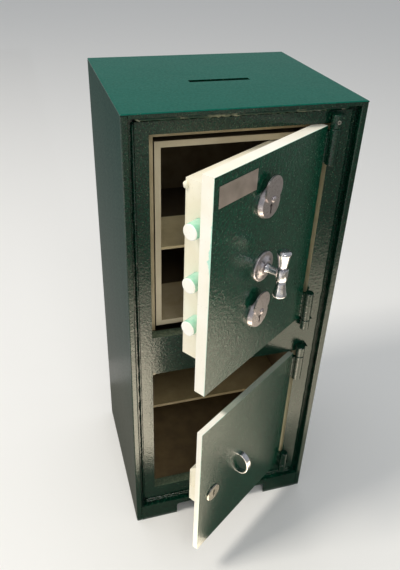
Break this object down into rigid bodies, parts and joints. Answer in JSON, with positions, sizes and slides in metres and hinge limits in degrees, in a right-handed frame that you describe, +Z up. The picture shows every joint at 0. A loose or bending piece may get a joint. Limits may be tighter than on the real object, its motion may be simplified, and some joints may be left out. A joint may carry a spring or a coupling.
{
  "type": "drop safe",
  "caption": "Floor-standing steel drop safe: deposit slot in the top, upper strong door with round bolts thrown by a T-handle, lower locker with a keyed door, a shelf in each.",
  "frame": {"origin": "on the floor, at the centre of the cabinet's footprint", "axes": "+Z up, the doors face -Y, the hinges are on the +X side"},
  "size_m": [0.42, 0.5428, 0.98],
  "materials": {
    "green_enamel": "dark green gloss enamel, slight orange peel",
    "cream_paint": "cream semi-gloss paint",
    "brown_primer": "brown-grey primer, matt",
    "chrome_plate": "bright chrome plating",
    "bright_steel": "plain turned and sheared steel"
  },
  "bodies": {
    "cabinet": {"side_left": "green_enamel", "side_right": "green_enamel", "back_sheet": "green_enamel", "top_plate": "green_enamel", "plinth_front": "green_enamel", "base_plate": "green_enamel", "front_frame": "green_enamel", "frame_surround": "brown_primer", "upper_inner_body": "cream_paint", "deposit_chute": "green_enamel", "lower_locker_lining": "brown_primer", "upper_shelf": "brown_primer", "upper_shelf_rail_left": "brown_primer", "upper_shelf_rail_right": "brown_primer", "lower_shelf": "brown_primer", "lower_shelf_rail_left": "brown_primer", "lower_shelf_rail_right": "brown_primer", "frame_knuckle_upper_top": "green_enamel", "frame_knuckle_upper_low": "green_enamel", "frame_knuckle_lower_top": "green_enamel", "frame_knuckle_lower_low": "green_enamel", "hinge_pin_upper_top": "bright_steel", "hinge_pin_upper_low": "bright_steel", "hinge_pin_lower_top": "bright_steel", "hinge_pin_lower_low": "bright_steel", "hinge_roll_pin": "bright_steel"},
    "upper_door": {"upper_door_plate": "green_enamel", "door_knuckle_upper_top": "green_enamel", "door_knuckle_upper_low": "green_enamel", "bolt_box": "cream_paint", "bolt_box_cover": "cream_paint", "bar_guide_high": "bright_steel", "bar_guide_low": "bright_steel", "handle_rose": "chrome_plate", "escutcheon_high": "chrome_plate", "escutcheon_low": "chrome_plate", "cover_rivet_high": "chrome_plate", "cover_rivet_low": "chrome_plate", "lock_case_high": "bright_steel", "lock_case_low": "bright_steel", "label_plate": "bright_steel"},
    "handle": {"handle_spindle": "chrome_plate", "handle_grip_up": "chrome_plate", "handle_grip_down": "chrome_plate", "handle_crank": "bright_steel"},
    "bolts": {"bolt_low": "bright_steel", "bolt_middle": "bright_steel", "bolt_high": "bright_steel", "bolt_bar": "bright_steel"},
    "key_cover_high": {"key_cover_high": "chrome_plate"},
    "key_cover_low": {"key_cover_low": "chrome_plate"},
    "lower_door": {"lower_door_plate": "green_enamel", "door_knuckle_lower_top": "green_enamel", "door_knuckle_lower_low": "green_enamel", "locker_lock_case": "cream_paint", "locker_escutcheon": "chrome_plate", "half_ring_pull": "chrome_plate"},
    "locker_bolt": {"locker_lock_bolt": "bright_steel"}
  },
  "joints": [
    {"name": "upper_door_hinge", "type": "hinge", "parent": "cabinet", "child": "upper_door", "pos_m": [0.155, -0.1863, 0.737], "axis": [0, 0, 1], "range_deg": [-34.2, 85.8]},
    {"name": "lower_door_hinge", "type": "hinge", "parent": "cabinet", "child": "lower_door", "pos_m": [0.155, -0.1863, 0.267], "axis": [0, 0, 1], "range_deg": [-34.2, 85.8]},
    {"name": "bolt_slide", "type": "slide", "parent": "upper_door", "child": "bolts", "axis": [0.8271, 0.5621, 0], "range_m": [0, 0.024]},
    {"name": "handle_turn", "type": "hinge", "parent": "upper_door", "child": "handle", "pos_m": [0.00709, -0.27376, 0.737], "axis": [-0.5621, 0.8271, 0], "range_deg": [0, 90]},
    {"name": "key_cover_high_swing", "type": "hinge", "parent": "upper_door", "child": "key_cover_high", "pos_m": [0.00754, -0.28688, 0.8667], "axis": [0.5621, -0.8271, 0], "range_deg": [-180, 180]},
    {"name": "key_cover_low_swing", "type": "hinge", "parent": "upper_door", "child": "key_cover_low", "pos_m": [0.00754, -0.28688, 0.6527], "axis": [0.5621, -0.8271, 0], "range_deg": [-180, 180]},
    {"name": "locker_bolt_slide", "type": "slide", "parent": "lower_door", "child": "locker_bolt", "axis": [-0.8271, -0.5621, 0], "range_m": [0, 0.022]}
  ],
  "couplings": [
    {"joint": "handle_turn", "follows": "bolt_slide", "rad_per_m": 65.44}
  ]
}
